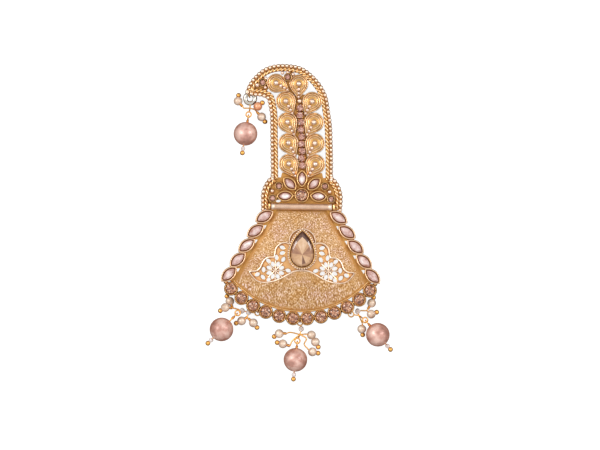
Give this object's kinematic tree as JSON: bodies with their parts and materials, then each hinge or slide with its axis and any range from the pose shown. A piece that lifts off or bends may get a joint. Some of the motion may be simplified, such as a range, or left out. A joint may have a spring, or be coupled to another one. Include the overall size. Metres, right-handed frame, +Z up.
{
  "type": "kalgi",
  "caption": "Turban ornament with a hooked petal plume over a domed, pierced fan plate, edged with set stones and hung with pearl drops, with a folded strip clip behind.",
  "frame": {"origin": "On the flat underside of the back clip, below the middle of the crossbar between dome and fan.", "axes": "+Z up out of the ornament's face, +Y towards the crest of the plume, +X to the right seen from the front. Z = 0 is the surface that it lies on."},
  "size_m": [0.0788, 0.1333, 0.01],
  "materials": {
    "antique_gold": "satin rose gold plating, pale matte stippling on the plate",
    "pale_bar": "pale satin, finely ribbed",
    "clip_metal": "brushed gold plating",
    "opal_stone": "pale pink, milky, polished",
    "champagne_stone": "clear champagne, faceted",
    "rose_stone": "rose rhinestone, faceted",
    "pink_pearl": "pink pearl lacquer, glossy",
    "clear_crystal": "clear crystal bead"
  },
  "bodies": {
    "root": {"gold_frame": "antique_gold", "crossbar": "pale_bar", "back_clip": "clip_metal", "pear_stone": "champagne_stone", "spine_stones": "rose_stone", "side_navette_left_1": "opal_stone", "side_navette_left_2": "opal_stone", "side_navette_left_3": "opal_stone", "side_navette_left_4": "opal_stone", "side_navette_left_5": "opal_stone", "side_navette_right_1": "opal_stone", "side_navette_right_2": "opal_stone", "side_navette_right_3": "opal_stone", "side_navette_right_4": "opal_stone", "side_navette_right_5": "opal_stone", "flower_navette_1": "opal_stone", "flower_navette_2": "opal_stone", "flower_navette_3": "opal_stone", "flower_navette_4": "opal_stone", "flower_navette_5": "opal_stone", "flower_round": "champagne_stone", "rim_round_1": "champagne_stone", "rim_round_2": "champagne_stone", "rim_round_3": "champagne_stone", "rim_round_4": "champagne_stone", "rim_round_5": "champagne_stone", "rim_round_6": "champagne_stone", "rim_round_7": "champagne_stone", "rim_round_8": "champagne_stone", "rim_round_9": "champagne_stone", "rim_round_10": "champagne_stone", "rim_round_11": "champagne_stone", "rim_round_12": "champagne_stone", "dome_chaton_1": "rose_stone", "dome_chaton_2": "rose_stone", "dome_chaton_3": "rose_stone", "dome_chaton_4": "rose_stone", "crest_chaton": "rose_stone", "hook_chaton": "rose_stone", "hook_cluster": "antique_gold", "hook_pin": "antique_gold", "hook_pearl": "pink_pearl", "left_cluster": "antique_gold", "left_pin": "antique_gold", "left_pearl": "pink_pearl", "centre_cluster": "antique_gold", "centre_pin": "antique_gold", "centre_pearl": "pink_pearl", "right_cluster": "antique_gold", "right_pin": "antique_gold", "right_pearl": "pink_pearl"}
  },
  "joints": []
}
